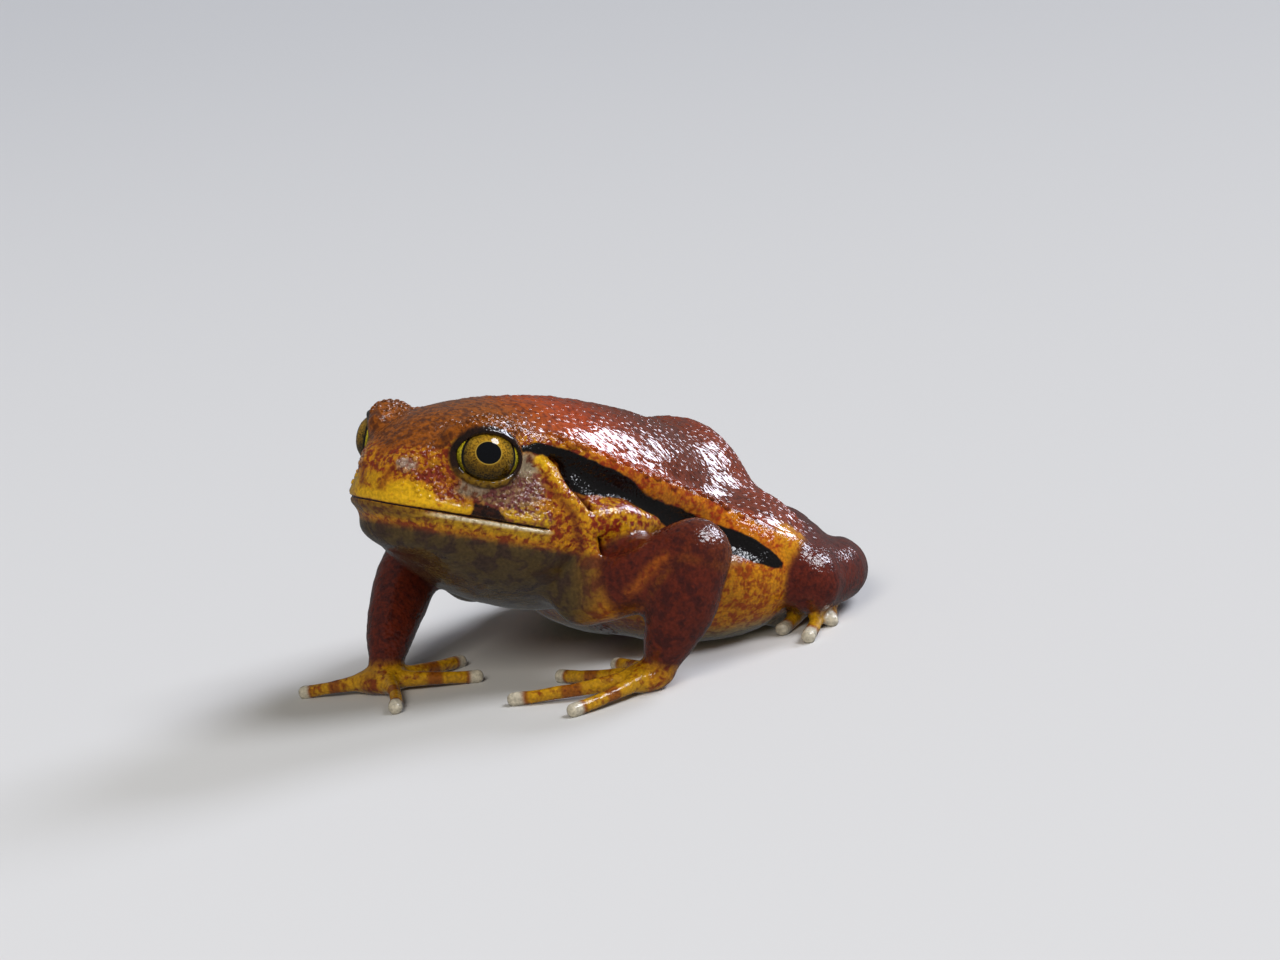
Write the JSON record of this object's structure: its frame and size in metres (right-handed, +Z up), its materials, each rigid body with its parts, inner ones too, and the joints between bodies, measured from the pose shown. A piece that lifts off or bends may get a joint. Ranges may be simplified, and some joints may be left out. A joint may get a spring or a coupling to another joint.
{
  "type": "tomato frog",
  "caption": "Life-size tomato frog at rest: raised head, ridged back, bent forelegs, folded hind legs and splayed digits on the floor.",
  "frame": {"origin": "middle of the frog's footprint box, on the floor", "axes": "-Y ahead of the snout, +X the frog's left side, +Z up"},
  "size_m": [0.0668, 0.0858, 0.0431],
  "materials": {
    "back_skin": "wet, glossy skin, red-brown to orange",
    "throat_skin": "moist skin, yellow with brown",
    "limb_skin": "wet, glossy skin, maroon-brown",
    "digit_skin": "moist skin, yellow banded with red-brown",
    "eye": "wet eyeball, golden iris, black pupil"
  },
  "bodies": {
    "root": {"head": "back_skin", "lower_jaw": "throat_skin", "torso": "back_skin", "eye_left": "eye", "eye_right": "eye", "upper_arm_left": "limb_skin", "upper_arm_right": "limb_skin", "forearm_left": "limb_skin", "forearm_right": "limb_skin", "hand_left": "digit_skin", "hand_right": "digit_skin", "thigh_left": "limb_skin", "thigh_right": "limb_skin", "shank_left": "limb_skin", "shank_right": "limb_skin", "foot_left": "digit_skin", "foot_right": "digit_skin"}
  },
  "joints": []
}
